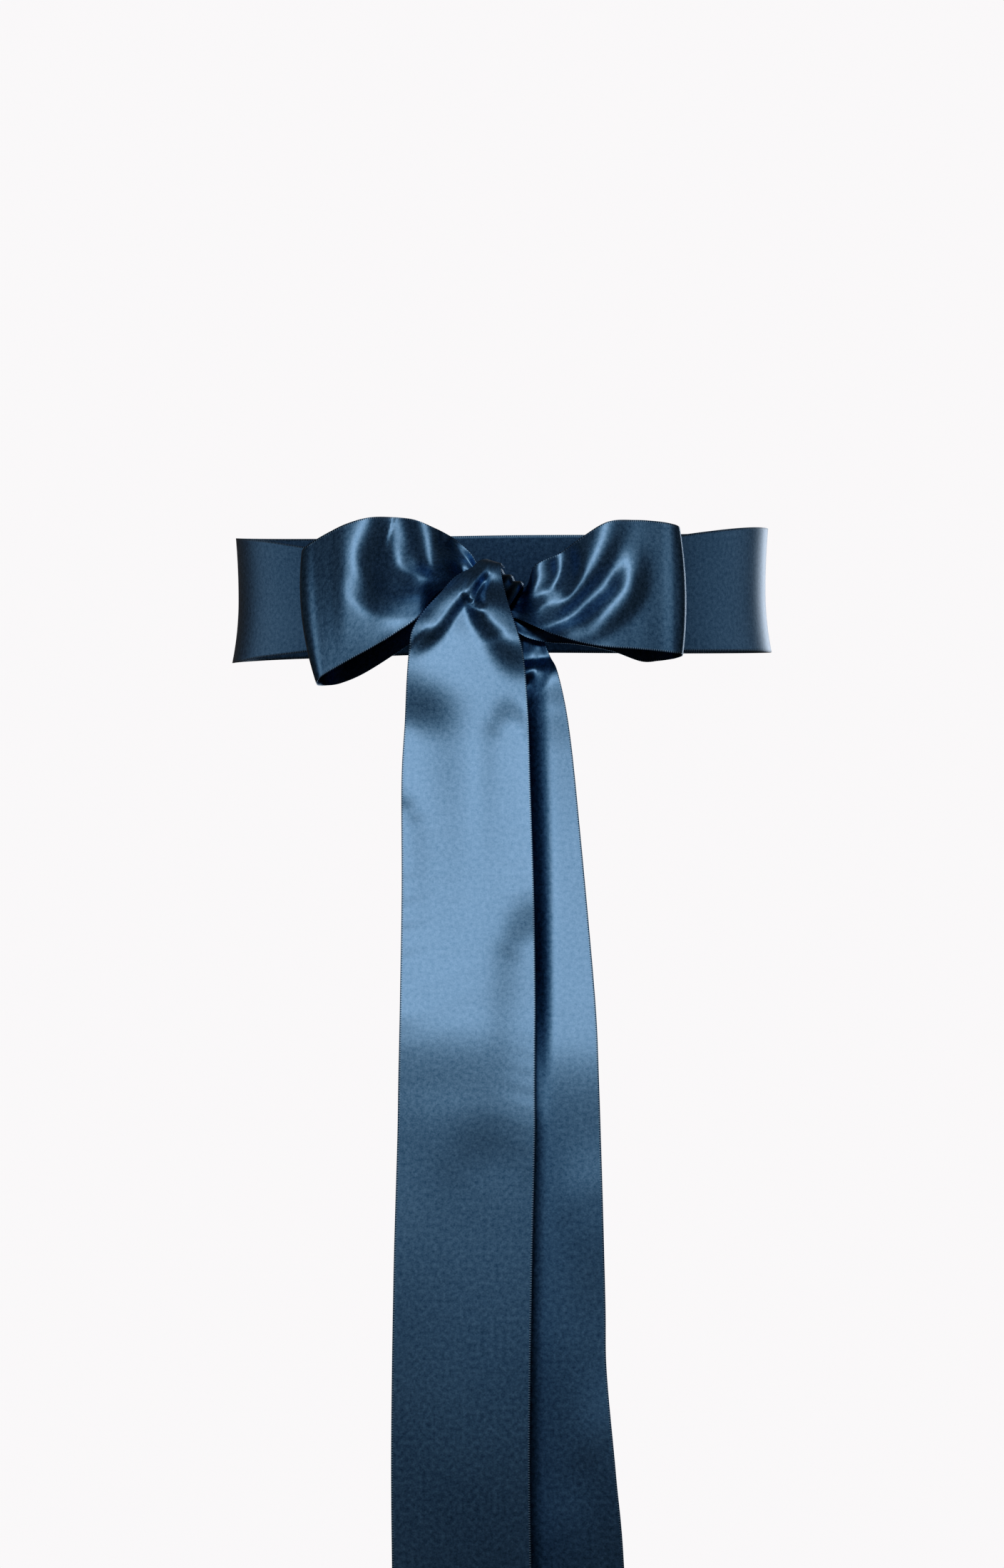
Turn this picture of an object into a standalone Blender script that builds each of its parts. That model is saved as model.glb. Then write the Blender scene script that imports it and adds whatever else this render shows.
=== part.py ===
"""A satin sash, worn round a waist and tied at the back in a bow with two long tails.

Every stretch of the ribbon that shows is one cloth wall: the band round the waist,
the knot, the two loops of the bow and the two tails. The wearer faces +Y, so the bow
is on the -Y side. The origin is the middle of the waist that the band goes round.
"""

import math
from collections import namedtuple

import bmesh
import bpy
import numpy as np

MM = 0.001
RIBBON_WIDTH = 75 * MM
CLOTH_WALL = 1.0 * MM

# The waist: an oval, with the band drawn in a little at its middle height
WAIST_HALF_WIDTH = 159.3 * MM
WAIST_HALF_DEPTH = 112 * MM
TOP_FLARE = 1.6 * MM
BOTTOM_FLARE = 3.8 * MM
BAND_LEAVES_BACK_AT = 71 * MM
BAND_TURN_IN_KNOT = 10 * MM

# The knot: a short pleated tube whose axis runs down to the right, seen from behind
KNOT_X, KNOT_Y, KNOT_Z = -1.8 * MM, -129.5 * MM, -6.9 * MM
KNOT_TILT = math.radians(33)
KNOT_LENGTH = 17 * MM
KNOT_HALF_HEIGHT = 13 * MM
KNOT_HALF_DEPTH = 14 * MM
KNOT_SQUARENESS = 3.5
KNOT_RIDGE = 0.8 * MM
KNOT_RIDGES = 2.5
KNOT_RIDGE_SLANT = 0.8

SATIN_BLUE = (0.045, 0.12, 0.24, 1.0)
SATIN_ROUGHNESS = 0.38

# Points taken between two rows when a curve through them is measured
FINE_STEPS = 40
FOLD_STEPS = 12

# Pleats across a gathered section, the part of a fold's line over which it fades in, and how
# flat its crest is: 1 is a bell, and more is flatter on top with steeper sides
PLEATS = 2.5
FOLD_FADE = 0.25
FOLD_ROUNDNESS = 1.5

# How many cells each wall has along the ribbon and across it, and how they crowd at the knot
BAND_CELLS = (60, 6)
LOOP_CELLS = (40, 16)
FRONT_TAIL_CELLS = (34, 12)
BACK_TAIL_CELLS = (30, 8)
KNOT_CELLS = (28, 8)
TAIL_CROWDING = 1.6
BAND_CROWDING = 0.65

# One section across the ribbon, in mm: its upper and lower edge points, how far its
# upper edge, middle and lower edge stand out behind the knot's middle, how far its
# middle bows sideways, the height of its pleats, and how much of the folds it takes
Section = namedtuple("Section", "x_up z_up x_low z_low d_up d_mid d_low bow pleat folds")

# One soft fold, in mm: the x, z points that its line passes, its height, which is negative
# for a trough, its half-width at the line's start and end, and how many times wider it is on
# the line's left hand, where it is seen from behind and followed from start to end
Fold = namedtuple("Fold", "line height start_width end_width lean", defaults=(1,))

# One section of the waist band: the angle round the waist of its upper and lower
# edge, from the knot and towards +X, their heights in mm, and its pleats in mm
BandSection = namedtuple("BandSection", "angle_up z_up angle_low z_low pleat")


def knot_section(along, up, low, depth, pleat=1.5):
    """A section inside the knot: up and low are its edges' distances from the knot's axis."""
    axis_x = KNOT_X / MM + along * math.cos(KNOT_TILT)
    axis_z = KNOT_Z / MM - along * math.sin(KNOT_TILT)
    side_x, side_z = math.sin(KNOT_TILT), math.cos(KNOT_TILT)
    return Section(
        axis_x + up * side_x, axis_z + up * side_z,
        axis_x + low * side_x, axis_z + low * side_z,
        depth, depth, depth, 0, pleat, 0,
    )


def knot_band_section(along, half_height):
    """A section of the waist band inside the knot."""
    row = knot_section(along, half_height, -half_height, 0)
    angle_up, angle_low = (
        math.degrees(math.asin(x * MM / WAIST_HALF_WIDTH)) for x in (row.x_up, row.x_low)
    )
    turn = 360 if along < 0 else 0
    return BandSection(angle_up + turn, row.z_up, angle_low + turn, row.z_low, 0.8)


MOUTH = KNOT_LENGTH / 2 / MM
INNER_END = 1.5

WAIST_BAND = [
    knot_band_section(INNER_END, 7.5),
    knot_band_section(MOUTH, 7.5),
    BandSection(8.5, -3, 6.0, -24, 1.0),
    BandSection(15.0, 7, 13.6, -32, 1.3),
    BandSection(23.3, 18, 22.5, -34.5, 0.9),
    BandSection(32.1, 26, 32.1, -36, 0.5),
    BandSection(41.8, 31.5, 41.8, -36.7, 0.2),
    BandSection(62, 37.5, 62, -35.5, 0),
    BandSection(85, 40.2, 85, -34.6, 0),
    BandSection(135, 43, 135, -32, 0),
    BandSection(180, 44.5, 180, -30.5, 0),
    BandSection(225, 40, 225, -35, 0),
    BandSection(275, 34.2, 275, -41.1, 0),
    BandSection(298, 30, 298, -39.3, 0),
    BandSection(316.3, 23.8, 316.3, -36.6, 0.2),
    BandSection(327.9, 20, 327.9, -33.5, 0.5),
    BandSection(337.8, 15, 337, -29, 0.9),
    BandSection(346.6, 9.5, 345.4, -22.5, 1.3),
    BandSection(353.2, 5, 351.8, -12, 1.0),
    knot_band_section(-MOUTH, 7.5),
    knot_band_section(-INNER_END, 7.5),
]

LEFT_LOOP = [
    knot_section(-INNER_END, 11.2, -11.2, 1.5),
    knot_section(-MOUTH, 11.2, -11.2, 1.5),
    Section(-12.5, 9.5, -19.5, -7, 5, 6, 5, 0, 1.4, 0.1),
    Section(-18, 17.5, -26, -2, 5.5, 7.5, 7, 0, 1.0, 0.5),
    Section(-27, 25.5, -33, -2.5, 9, 11, 9.5, 0, 0.5, 0.9),
    Section(-38.7, 31, -40, -9, 14.5, 15, 14, 0, 0, 1),
    Section(-50, 35.6, -47.5, -20, 16, 16, 24, 0, 0, 1),
    Section(-62.4, 37.2, -60, -29, 15, 21, 25, 0, 0, 1),
    Section(-75.3, 36.7, -73, -37, 18, 26, 21.8, 0, 0, 1),
    Section(-88, 33.2, -86, -44, 17, 25.5, 18.8, 0, 0, 1),
    Section(-98, 28.6, -95, -49, 14.5, 22.9, 16.6, 0, 0, 0.7),
    Section(-106, 24.2, -101, -52.5, 12.6, 20.7, 15.1, -1, 0, 0.4),
    Section(-111.5, 20.5, -104, -55, 11.4, 19.2, 14.2, -3, 0, 0.1),
    Section(-113.6, 18.2, -105.4, -56.4, 8, 14.5, 10, -3.7, 0, 0),
    Section(-113.7, 17, -105.6, -57, -2, 2, -2, -3.7, 0, 0),
    Section(-112, 15, -105.3, -57.5, -13, -11, -12, -3, 0, 0),
    Section(-106, 14.5, -101.5, -57.3, -23, -22, -22, -1, 0, 0),
    Section(-96, 16.5, -93.5, -56, -27, -26, -26, 0, 0, 0),
    Section(-82, 22, -80, -50.5, -24, -22, -23, 0, 0, -0.1),
    Section(-62, 22, -61, -39, -17, -15, -16, 0, 0.3, -0.2),
    Section(-42, 15, -42, -26, -11, -10, -11, 0, 0.7, -0.2),
    Section(-24, 8, -26, -16, -6, -5.5, -6, 0, 1.2, 0),
    knot_section(-MOUTH, 10.5, -10.5, -4),
    knot_section(-INNER_END, 10.5, -10.5, -4),
]

LEFT_LOOP_FOLDS = [
    Fold([(-62, 32), (-65, 18), (-63, 8), (-56, 2), (-45, 0), (-32, -1), (-18, -3)], -5.5, 13, 6),
    Fold([(-82, -2), (-70, -8), (-58, -11), (-44, -10), (-28, -6), (-12, -5)], -4, 9, 6),
    Fold([(-44, 44), (-43, 30), (-42, 18), (-35, 9), (-24, 3)], 4, 10, 6),
    Fold([(-25, 38), (-25, 24), (-19, 8)], -5, 10, 6),
]

RIGHT_LOOP = [
    knot_section(INNER_END, 11.2, -8, 5),
    knot_section(MOUTH, 11.2, -8, 5),
    Section(14.5, -1, 8.5, -20, 7, 8, 7, 0, 0.8, 0),
    Section(19, 9.8, 17, -24, 11, 14, 12, 0, 0.6, 0.7),
    Section(31.7, 16.3, 29.5, -29.5, 13, 18, 15, 0, 0.2, 1),
    Section(45, 25.5, 43.5, -34, 15, 20, 17, 0, 0, 1),
    Section(60, 34.3, 58, -36.6, 17, 22, 19.5, 0, 0, 1),
    Section(76, 35.5, 76, -37.8, 14.6, 19.8, 17.4, 0, 0, 1),
    Section(90, 34.7, 90, -39, 12, 17.2, 14.8, 0, 0, 0.6),
    Section(98, 33.2, 98.3, -40, 10.6, 15.8, 13.4, 0.6, 0, 0.2),
    Section(100.8, 32, 102.2, -40.3, 7, 12.5, 10, 2, 0, 0),
    Section(100.8, 31.2, 103, -40.6, -1, 1, -1, 2.9, 0, 0),
    Section(99.5, 30.4, 102.6, -41, -12, -10, -11, 2.5, 0, 0),
    Section(95.5, 30, 98.5, -42, -21, -19.5, -19.5, 1, 0, 0),
    Section(88, 29.8, 90, -43.1, -25, -23, -23, 0, 0, 0),
    Section(79, 29, 80, -43.4, -23, -21, -21, 0, 0, -0.1),
    Section(61, 22, 62, -37.5, -16, -14, -13, 0, 0.3, -0.2),
    Section(42, 12, 41, -34, -9, -7, -5, 0, 0.7, -0.2),
    Section(26, 3, 24, -33, -4, -2, 0, 0, 1.0, 0),
    Section(15, -3, 11, -29, -1, 0, 1, 0, 1.2, 0),
    knot_section(MOUTH, 9, -9, 0),
    knot_section(INNER_END, 9, -9, 0),
]

RIGHT_LOOP_FOLDS = [
    Fold([(5, -14), (10, -8), (15, 3), (20, 14)], 4, 8, 9),
    Fold([(28, -8), (33, -3), (36, 4), (36, 12), (33, 22)], -4.5, 6, 8),
    Fold([(6, -23), (19, -18), (28, -13.5), (38, -5), (47, 6), (54, 19), (60, 44)], 4.5, 6, 11),
    Fold([(12, -27), (27, -21.5), (38, -18), (50, -9.5), (60, 2), (66, 18)], -4, 6, 10),
    Fold([(73, 18), (71.5, 2), (67, -9), (56, -19.5), (46, -27), (34, -30), (16, -27)], 3.5, 10, 7),
]

FRONT_TAIL = [
    Section(-6.5, 13, 1.5, 9.5, -3, -3, -3, 0, 0, 0),
    Section(-8, 13.8, 0, 11, 2.5, 2.5, 2.5, 0, 0, 0),
    Section(-10, 13.6, -0.5, 11.2, 8.5, 9, 8.5, 0, 0, 0),
    Section(-13.5, 11.8, -0.7, 10, 14, 15, 14.5, 0, 0.4, 0.1),
    Section(-17.6, 8, -0.4, 5, 17, 18.5, 17.5, 0, 0.4, 0.4),
    Section(-24, 2, 1, -2, 19, 22, 20, 0, 0, 0.8),
    Section(-31, -6, 3.5, -12, 23, 25.5, 23, 0, 0, 1),
    Section(-41.5, -16.5, 7, -22.5, 26, 28.5, 26.5, 0, 0, 1),
    Section(-49.3, -27.5, 10, -32.5, 29, 31, 29.5, 0, 0, 1),
    Section(-52.4, -40, 12.2, -43, 31, 33, 32, 0, 0, 1),
    Section(-53.6, -57, 13.8, -59, 35, 36.5, 35.5, 0, 0, 1),
    Section(-54.6, -80, 15, -81, 40, 41, 40.5, 0, 0, 1),
    Section(-56.2, -113, 15.9, -113, 47.5, 48.5, 48, 0, 0, 1),
    Section(-55.7, -175, 17.8, -175, 62, 63, 62.5, 0, 0, 1),
    Section(-56.1, -231, 18.5, -231, 76.5, 77.5, 77, 0, 0, 1),
    Section(-56.4, -255, 18.3, -256, 81.5, 83.7, 83.5, 0, 0, 1),
    Section(-56.8, -279, 18.1, -282, 85, 88, 89, 0, 0, 1),
    Section(-57.2, -310, 18, -310, 88.8, 92, 93, 0, 0, 1),
    Section(-59.1, -384, 16.3, -384, 97, 99, 100, 0, 0, 1),
    Section(-60.1, -480, 15.1, -480, 104, 105.5, 106, 0, 0, 1),
    Section(-59.1, -570, 16.4, -570, 109, 110, 110, 0, 0, 1),
    Section(-58.7, -670, 17.2, -670, 113, 114, 113.5, 0, 0, 1),
]

FRONT_TAIL_FOLDS = [
    Fold([(-10, 9), (-16, 3), (-21, -6), (-26, -15), (-33, -25), (-45, -37)], 5, 7, 13, 0.6),
    Fold([(-14, 0), (-17.5, -8), (-18.5, -16), (-20, -32)], 2.5, 3, 7),
    Fold([(-6, 9), (-10.5, 2), (-13, -5), (-12.5, -12)], -9, 2.8, 3.4, 2),
    Fold([(-10, 9), (-16, 1), (-17.5, -7), (-14, -14), (-8, -16)], 2, 2.5, 3),
    Fold([(-18, -12), (-11, -16.5), (-2, -20.5), (7, -27), (13, -40)], 7.5, 5, 14, 1.4),
    Fold([(-64, -74), (-59, -92), (-58, -110), (-59, -128), (-64, -144)], -6, 24, 24),
    Fold([(2, -78), (8, -83), (15, -88)], -1.1, 9, 9),
    Fold([(0, -178), (8, -186), (17, -194)], -1.2, 20, 20),
    Fold([(-30, -306), (-10, -304), (10, -308)], 1.5, 24, 24),
]

BACK_TAIL = [
    knot_section(INNER_END, 0, -11.2, -4.5, 1.0),
    knot_section(MOUTH, 0, -11.2, -4.5, 1.0),
    Section(15, -16, 7, -25, -5, -5, -5, 0, 1.0, 0),
    Section(21.5, -27, 6, -34, -7, -6.5, -6, 0, 0.8, 0),
    Section(27.5, -41, 0, -44, -1, 0.5, 0, 0, 0.5, 0.5),
    Section(31.5, -50, -10, -53, 6.5, 8.5, 6.5, 0, 0.2, 1),
    Section(36.3, -71, -22, -73, 12, 14, 11, 0, 0, 1),
    Section(40, -98, -28, -99, 17, 18.5, 16, 0, 0, 1),
    Section(43.9, -139, -29, -139, 27, 28, 26, 0, 0, 1),
    Section(48.4, -190, -26.5, -190, 40, 40, 38, 0, 0, 1),
    Section(52.3, -240, -24, -240, 52.5, 52.5, 50, 0, 0, 1),
    Section(53.7, -277, -22.5, -277, 60, 59.5, 56.5, 0, 0, 1),
    Section(55.2, -330, -21.2, -330, 67, 66.5, 63.5, 0, 0, 1),
    Section(56.9, -400, -19.5, -400, 74.5, 74, 71.5, 0, 0, 1),
    Section(57.5, -437, -19, -437, 78, 77.5, 75.5, 0, 0, 1),
    Section(62.5, -493, -13.9, -493, 82, 81.5, 80, 0, 0, 1),
    Section(67, -547, -9.4, -547, 86, 85.5, 84, 0, 0, 1),
    Section(72, -684, -4.2, -684, 92, 91.5, 90, 0, 0, 1),
]

BACK_TAIL_FOLDS = [
    Fold([(24, -38), (23, -46), (20, -54), (14, -60)], -3, 4, 5),
    Fold([(4, -20), (8, -60), (11, -110), (14, -170), (16, -230), (18, -300)], -11, 14, 7),
    Fold([(48, -328), (52, -346), (56, -364)], 1.5, 20, 20),
    Fold([(50, -446), (54, -466), (60, -486)], 1.8, 18, 18),
]


def through(values, position):
    """A smooth curve through the rows of values: position 0 is the first row, 1 the next."""
    values = np.asarray(values, float)
    last = len(values) - 1
    position = np.clip(np.asarray(position, float), 0, last)
    start = np.minimum(position.astype(int), last - 1)
    share = (position - start)[:, None]
    a, b, c, d = (values[np.clip(start + step, 0, last)] for step in (-1, 0, 1, 2))
    return 0.5 * (
        2 * b
        + (c - a) * share
        + (2 * a - 5 * b + 4 * c - d) * share**2
        + (3 * b - a - 3 * c + d) * share**3
    )


def closer_at_start(share):
    return share**TAIL_CROWDING


def closer_at_ends(share):
    return share - BAND_CROWDING * np.sin(2 * math.pi * share) / (2 * math.pi)


def evenly(share):
    return share


def positions(middles, cells, spacing):
    """Positions along the rows, spaced by distance along the middle line."""
    fine = np.linspace(0, len(middles) - 1, FINE_STEPS * len(middles))
    line = through(middles, fine)
    run = np.concatenate([[0], np.cumsum(np.linalg.norm(np.diff(line, axis=0), axis=1))])
    return np.interp(spacing(np.linspace(0, 1, cells + 1)) * run[-1], run, fine)


def fold_height(x, z, folds):
    """How far the folds push the cloth outwards at the points x, z, in mm."""
    total = np.zeros_like(x)
    for fold in folds:
        share = np.linspace(0, 1, FOLD_STEPS * len(fold.line))
        line = through(fold.line, share * (len(fold.line) - 1))
        start, step = line[:-1], np.diff(line, axis=0)
        from_x, from_z = x[..., None] - start[:, 0], z[..., None] - start[:, 1]
        part = (from_x * step[:, 0] + from_z * step[:, 1]) / (step**2).sum(axis=1)
        part = np.clip(part, 0, 1)
        away = (from_x - part * step[:, 0]) ** 2 + (from_z - part * step[:, 1]) ** 2
        place = share[:-1] + part * (share[1] - share[0])
        width = fold.start_width + (fold.end_width - fold.start_width) * place
        on_left = from_z * step[:, 0] > from_x * step[:, 1]
        width = width * np.where(on_left, fold.lean, 1)
        fade = np.minimum(1, np.minimum(place, 1 - place) / FOLD_FADE)
        fade = fade * fade * (3 - 2 * fade)
        total += fold.height * (np.exp(-((away / width**2) ** FOLD_ROUNDNESS)) * fade).max(axis=-1)
    return total


def ribbon_grid(sections, folds, cells, spacing):
    """The points of a stretch of ribbon, one row of points for each station along it."""
    along, across = cells
    rows = np.array(sections, float)
    x_up, z_up, x_low, z_low, d_up, d_mid, d_low = rows[:, :7].T
    middles = np.stack([(x_up + x_low) / 2, d_mid, (z_up + z_low) / 2], axis=1)
    rows = through(rows, positions(middles, along, spacing))
    x_up, z_up, x_low, z_low, d_up, d_mid, d_low, bow, pleat, share = (
        rows[:, k : k + 1] for k in range(10)
    )
    t = np.linspace(0, 1, across + 1)[None, :]
    x = x_up + (x_low - x_up) * t + 4 * bow * t * (1 - t)
    z = z_up + (z_low - z_up) * t
    depth = d_up * (1 - t) * (1 - 2 * t) + 4 * d_mid * t * (1 - t) + d_low * t * (2 * t - 1)
    depth = depth + pleat * np.cos(2 * math.pi * PLEATS * t)
    depth = depth + share * fold_height(x, z, folds)
    return np.stack([x * MM, KNOT_Y - depth * MM, z * MM], axis=-1)


def waist_plan(angle, outwards):
    """x and y of the band's path, outwards of the waist. Behind, it runs straight to the knot."""
    x = WAIST_HALF_WIDTH * np.sin(angle)
    y = -WAIST_HALF_DEPTH * np.cos(angle)
    reach = BAND_LEAVES_BACK_AT / WAIST_HALF_WIDTH
    leave_y = -WAIST_HALF_DEPTH * math.sqrt(1 - reach**2)
    slope = WAIST_HALF_DEPTH * reach / WAIST_HALF_WIDTH / math.sqrt(1 - reach**2)
    behind = (np.abs(x) < BAND_LEAVES_BACK_AT) & (y < 0)
    aside = np.hypot(x, BAND_TURN_IN_KNOT)
    leave_aside = math.hypot(BAND_LEAVES_BACK_AT, BAND_TURN_IN_KNOT)
    y = np.where(behind, leave_y - slope * (leave_aside - aside), y)
    normal_x = np.where(behind, slope * x / aside, x / WAIST_HALF_WIDTH**2)
    normal_y = np.where(behind, -1.0, y / WAIST_HALF_DEPTH**2)
    length = np.hypot(normal_x, normal_y)
    return x + outwards * normal_x / length, y + outwards * normal_y / length


def band_grid(sections, cells):
    """The points of the band round the waist."""
    along, across = cells
    rows = np.array(sections, float)
    middle_angle = np.radians((rows[:, 0] + rows[:, 2]) / 2)
    middle_x, middle_y = waist_plan(middle_angle, 0.0)
    middles = np.stack([middle_x, middle_y], axis=1)
    rows = through(rows, positions(middles, along, closer_at_ends))
    angle_up, z_up, angle_low, z_low, pleat = (rows[:, k : k + 1] for k in range(5))
    t = np.linspace(0, 1, across + 1)[None, :]
    angle = np.radians(angle_up + (angle_low - angle_up) * t)
    z = z_up + (z_low - z_up) * t
    from_middle = 2 * t - 1
    spread = np.clip((z_up - z_low) * MM / RIBBON_WIDTH, 0, 1) ** 3
    flare = np.where(from_middle < 0, TOP_FLARE, BOTTOM_FLARE) * from_middle**2 * spread
    outwards = flare + pleat * MM * np.cos(2 * math.pi * PLEATS * t)
    x, y = waist_plan(angle, outwards)
    return np.stack([x, y, z * MM], axis=-1)


def knot_grid(cells):
    """The points of the knot's wrap, a row for each step round its axis."""
    around, along = cells
    turn = np.linspace(0, 2 * math.pi, around, endpoint=False)[:, None]
    share = np.linspace(-0.5, 0.5, along + 1)[None, :]
    ridge = KNOT_RIDGE * np.cos(2 * math.pi * KNOT_RIDGES * share + KNOT_RIDGE_SLANT * np.sin(turn))
    power = 2 / KNOT_SQUARENESS
    up = (KNOT_HALF_HEIGHT + ridge) * np.sign(np.cos(turn)) * np.abs(np.cos(turn)) ** power
    out = (KNOT_HALF_DEPTH + ridge) * np.sign(np.sin(turn)) * np.abs(np.sin(turn)) ** power
    run = share * KNOT_LENGTH
    x = KNOT_X + run * math.cos(KNOT_TILT) + up * math.sin(KNOT_TILT)
    z = KNOT_Z - run * math.sin(KNOT_TILT) + up * math.cos(KNOT_TILT)
    return np.stack([x, KNOT_Y - out, z], axis=-1)


def clear_scene():
    for obj in list(bpy.data.objects):
        bpy.data.objects.remove(obj)


def satin_material():
    material = bpy.data.materials.new("blue_satin")
    material.use_nodes = True
    shader = material.node_tree.nodes["Principled BSDF"]
    shader.inputs["Base Color"].default_value = SATIN_BLUE
    shader.inputs["Roughness"].default_value = SATIN_ROUGHNESS
    shader.inputs["Metallic"].default_value = 0.0
    return material


def cloth_wall(name, grid, material, collection, closed=False):
    """A named object: the grid of points as a sheet, given the cloth's thickness."""
    stations, points = grid.shape[:2]
    mesh = bpy.data.meshes.new(name)
    bm = bmesh.new()
    verts = [[bm.verts.new(point) for point in row] for row in grid]
    for i in range(stations if closed else stations - 1):
        row, following = verts[i], verts[(i + 1) % stations]
        for j in range(points - 1):
            face = bm.faces.new((row[j], row[j + 1], following[j + 1], following[j]))
            face.smooth = True
    bm.to_mesh(mesh)
    bm.free()
    mesh.materials.append(material)
    obj = bpy.data.objects.new(name, mesh)
    collection.objects.link(obj)
    wall = obj.modifiers.new("cloth", "SOLIDIFY")
    wall.thickness = CLOTH_WALL
    wall.offset = 0.0
    return obj


def main():
    clear_scene()
    collection = bpy.data.collections.new("satin_sash")
    bpy.context.scene.collection.children.link(collection)
    satin = satin_material()
    cloth_wall("waist_band", band_grid(WAIST_BAND, BAND_CELLS), satin, collection)
    cloth_wall("bow_knot", knot_grid(KNOT_CELLS), satin, collection, closed=True)
    for name, sections, folds, cells, spacing in (
        ("left_loop", LEFT_LOOP, LEFT_LOOP_FOLDS, LOOP_CELLS, evenly),
        ("right_loop", RIGHT_LOOP, RIGHT_LOOP_FOLDS, LOOP_CELLS, evenly),
        ("front_tail", FRONT_TAIL, FRONT_TAIL_FOLDS, FRONT_TAIL_CELLS, closer_at_start),
        ("back_tail", BACK_TAIL, BACK_TAIL_FOLDS, BACK_TAIL_CELLS, closer_at_start),
    ):
        cloth_wall(name, ribbon_grid(sections, folds, cells, spacing), satin, collection)


main()
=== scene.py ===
"""The looks of a satin sash tied in a bow: thin cloth, satin, softboxes, floor and camera.

Each stretch of the ribbon is a sheet in the form of its solid. Rows of sections and a few
soft folds give that form.
"""

import math
from collections import namedtuple

import bpy
import numpy as np
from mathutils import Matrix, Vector


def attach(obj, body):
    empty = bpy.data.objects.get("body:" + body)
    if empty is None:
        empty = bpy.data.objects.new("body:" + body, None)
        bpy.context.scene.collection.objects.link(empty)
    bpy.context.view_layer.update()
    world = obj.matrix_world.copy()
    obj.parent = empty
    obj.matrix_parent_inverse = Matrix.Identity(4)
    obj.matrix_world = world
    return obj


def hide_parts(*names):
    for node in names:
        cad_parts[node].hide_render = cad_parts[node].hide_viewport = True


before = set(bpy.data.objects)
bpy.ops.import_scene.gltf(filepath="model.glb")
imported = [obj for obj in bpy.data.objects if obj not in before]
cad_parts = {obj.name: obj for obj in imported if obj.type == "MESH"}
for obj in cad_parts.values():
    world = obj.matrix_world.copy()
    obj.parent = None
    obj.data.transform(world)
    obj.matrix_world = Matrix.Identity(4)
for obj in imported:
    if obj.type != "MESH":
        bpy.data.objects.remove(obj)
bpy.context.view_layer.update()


# The photo's height and its camera's focal length in pixels. The camera is level, behind
# the wearer, and its distance and height are in metres
PHOTO_HEIGHT_PX = 2200
FOCAL_PX = 5090
SENSOR_MM = 36
CAMERA_DISTANCE = 2.20
CAMERA_HEIGHT = -0.1141
CAMERA_CLIP_START = 0.05

MM = 0.001
RIBBON_WIDTH = 75 * MM
CLOTH_THICKNESS = 0.4 * MM

# The waist: an oval, with the band drawn in a little at its middle height. Its edges flare
# out, and the power says how fast the flare fades where the band is gathered. Behind, the
# band leaves the oval so far to each side, runs straight to the knot and turns softly in it
WAIST_HALF_WIDTH = 159.3 * MM
WAIST_HALF_DEPTH = 112 * MM
TOP_FLARE = 1.6 * MM
BOTTOM_FLARE = 3.8 * MM
FLARE_POWER = 3
BAND_LEAVES_BACK_AT = 71 * MM
BAND_TURN_IN_KNOT = 10 * MM

# The knot: a short pleated tube whose axis runs down to the right, seen from behind
KNOT_X, KNOT_Y, KNOT_Z = -1.8 * MM, -129.5 * MM, -6.9 * MM
KNOT_TILT = math.radians(33)
KNOT_LENGTH = 17 * MM
KNOT_HALF_HEIGHT = 13 * MM
KNOT_HALF_DEPTH = 14 * MM
KNOT_SQUARENESS = 3.5
KNOT_RIDGE = 0.8 * MM
KNOT_RIDGES = 2.5
KNOT_RIDGE_SLANT = 0.8

# The woven edge's width, and one light and one dark pick along it
SELVEDGE = 1.1 * MM
PICK = 1.3 * MM

# Points taken for each row when the line through the rows is measured, and for each point
# of a fold's line
FINE_STEPS = 40
FOLD_STEPS = 12

# Pleats across a gathered section, the part of a fold's line over which it fades in, and how
# flat its crest is: 1 is a bell, and more is flatter on top with steeper sides
PLEATS = 2.5
FOLD_FADE = 0.25
FOLD_ROUNDNESS = 1.5

# How many cells each sheet has along the ribbon and across it, with the knot's round its
# axis and along it, and how strongly they crowd towards the knot
BAND_CELLS = (320, 36)
LOOP_CELLS = (220, 90)
TAIL_CELLS = (300, 84)
KNOT_CELLS = (120, 40)
TAIL_CROWDING = 1.6
BAND_CROWDING = 0.65

# Colours, as red, green, blue and alpha: the satin's dark and light specks, the picks of its
# woven edge, the floor, the room that lights the cloth, and the backdrop behind it
DARK_SATIN, LIGHT_SATIN = (0.115, 0.208, 0.330, 1.0), (0.228, 0.372, 0.560, 1.0)
DARK_PICK, LIGHT_PICK = (0.100, 0.170, 0.265, 1.0), (0.300, 0.430, 0.580, 1.0)
FLOOR_COLOUR = (0.8, 0.79, 0.795, 1.0)
ROOM_LIGHT = (0.15, 0.115, 0.09, 1.0)
BACKDROP = (0.955, 0.940, 0.948, 1.0)

# The satin's grain: how many specks or clouds there are to a metre, and how fine their
# detail is, then how much of the specks is coarse and how strongly the grain shows
Grain = namedtuple("Grain", "per_metre detail")
FINE_SPECKS, COARSE_SPECKS, CLOUDS = Grain(1100, 2), Grain(420, 2), Grain(16, 3)
COARSE_SHARE = 0.55
SPECK_CONTRAST = 2.6
CLOUD_CONTRAST = 0.4

# The satin's shine: smooth threads that stretch a highlight along the ribbon
METALLIC = 0.85
ANISOTROPIC = 0.7
ROUGHNESS, ROUGHNESS_OF_SPECKS = 0.47, 0.12
RELIEF_STRENGTH = 0.5
RELIEF_DEPTH = 0.05 * MM

# How wide the beam of the low fill is
LOW_FILL_SPREAD = math.radians(35)

# The floor: a round sheet under the tails, in metres
FLOOR_RADIUS = 1.2
FLOOR_HEIGHT = -1.05
FLOOR_SIDES = 64
FLOOR_ROUGHNESS = 0.9

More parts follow.
